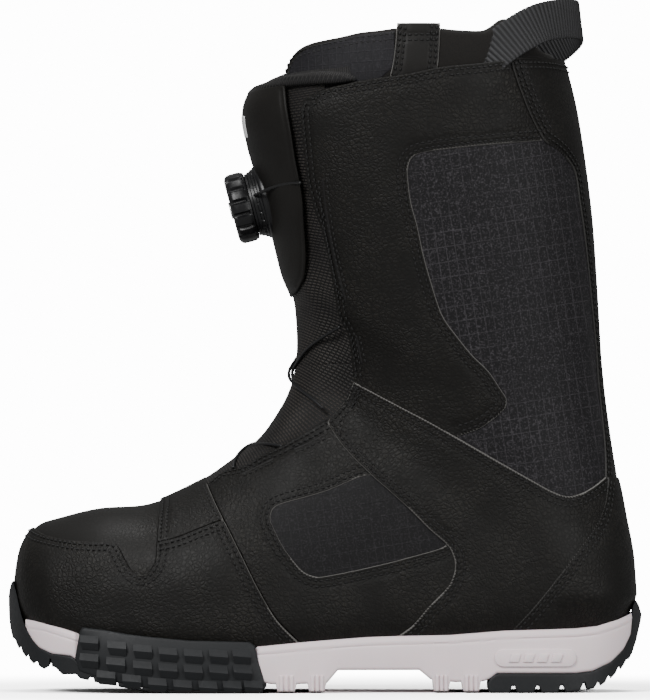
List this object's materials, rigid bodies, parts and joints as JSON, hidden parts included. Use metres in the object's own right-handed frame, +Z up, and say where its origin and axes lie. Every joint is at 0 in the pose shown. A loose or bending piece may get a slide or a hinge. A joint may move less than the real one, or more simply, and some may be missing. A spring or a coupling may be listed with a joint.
{
  "type": "snowboard boot",
  "caption": "Left snowboard boot with a panelled upper, cable-tension dial on an opening tongue, inner liner, pull loop and lugged foam and rubber sole.",
  "frame": {"origin": "on the ground, under the middle of the boot's bounding box", "axes": "+Z up, toe towards -X, outer (lateral) side towards -Y"},
  "size_m": [0.304, 0.1192, 0.3307],
  "materials": {
    "leather": "pebbled synthetic leather, satin",
    "ripstop": "ripstop weave, matte",
    "textile": "ribbed textile, matte",
    "shield": "smooth coated fabric, satin",
    "liner": "neoprene-like lining, matte",
    "foam": "moulded foam, matte",
    "rubber": "moulded rubber, matte",
    "plastic": "moulded plastic, satin",
    "dial_cap": "moulded plastic, satin",
    "cable": "coated cable, satin",
    "steel": "brushed",
    "board": "pressed fibre board, matte"
  },
  "bodies": {
    "foot": {"midsole": "foam", "forefoot_outsole": "rubber", "heel_outsole": "rubber", "lateral_grip_pad": "rubber", "medial_grip_pad": "rubber", "lasting_board": "board", "shank": "steel", "footbed": "liner", "toe_cap": "leather", "vamp": "leather", "toe_rand": "leather", "toe_puff": "plastic", "lateral_quarter": "leather", "medial_quarter": "leather", "lateral_midfoot_inset": "ripstop", "medial_midfoot_inset": "ripstop", "lateral_ankle_panel": "leather", "medial_ankle_panel": "leather", "heel_panel": "leather", "heel_counter": "plastic", "tongue_base": "textile", "lower_guides": "textile", "lower_lace": "cable", "ankle_lace": "cable", "liner_toe_box": "liner", "liner_heel": "liner"},
    "cuff": {"lateral_cuff": "leather", "medial_cuff": "leather", "lateral_calf_inset": "ripstop", "medial_calf_inset": "ripstop", "back_stay": "leather", "cuff_guides": "textile", "liner_cuff": "liner", "liner_strap": "liner"},
    "tongue": {"tongue_pad": "textile", "tongue_mesh": "textile", "tongue_shield": "shield", "tongue_binding": "textile", "liner_tongue": "liner", "dial_mount": "plastic", "dial_housing": "plastic", "upper_lace": "cable"},
    "spool": {"dial_spool": "plastic", "ratchet_wheel": "steel"},
    "knob": {"dial_knob": "plastic", "dial_cap": "dial_cap", "dial_screw": "steel"},
    "loop": {"pull_loop": "textile"}
  },
  "joints": [
    {"name": "ankle_flex", "type": "hinge", "parent": "foot", "child": "cuff", "pos_m": [0.04, 0, 0.135], "axis": [0, -1, 0], "range_deg": [0, 8], "stiffness_Nm_per_rad": 60, "deforming": ["ankle_lace"]},
    {"name": "tongue_open", "type": "hinge", "parent": "cuff", "child": "tongue", "pos_m": [-0.014, 0, 0.15], "axis": [0, -1, 0], "range_deg": [0, 25], "stiffness_Nm_per_rad": 3, "deforming": ["upper_lace"]},
    {"name": "dial_turn", "type": "hinge", "parent": "tongue", "child": "spool", "pos_m": [-0.0285, 0, 0.235], "axis": [-0.9659, 0, -0.2588], "continuous": true},
    {"name": "dial_pop", "type": "slide", "parent": "spool", "child": "knob", "axis": [-0.9659, 0, -0.2588], "range_m": [0, 0.003]},
    {"name": "loop_swing", "type": "hinge", "parent": "cuff", "child": "loop", "pos_m": [0.104, 0, 0.305], "axis": [0.134, 0.991, 0], "range_deg": [0, 25], "stiffness_Nm_per_rad": 0.05}
  ]
}
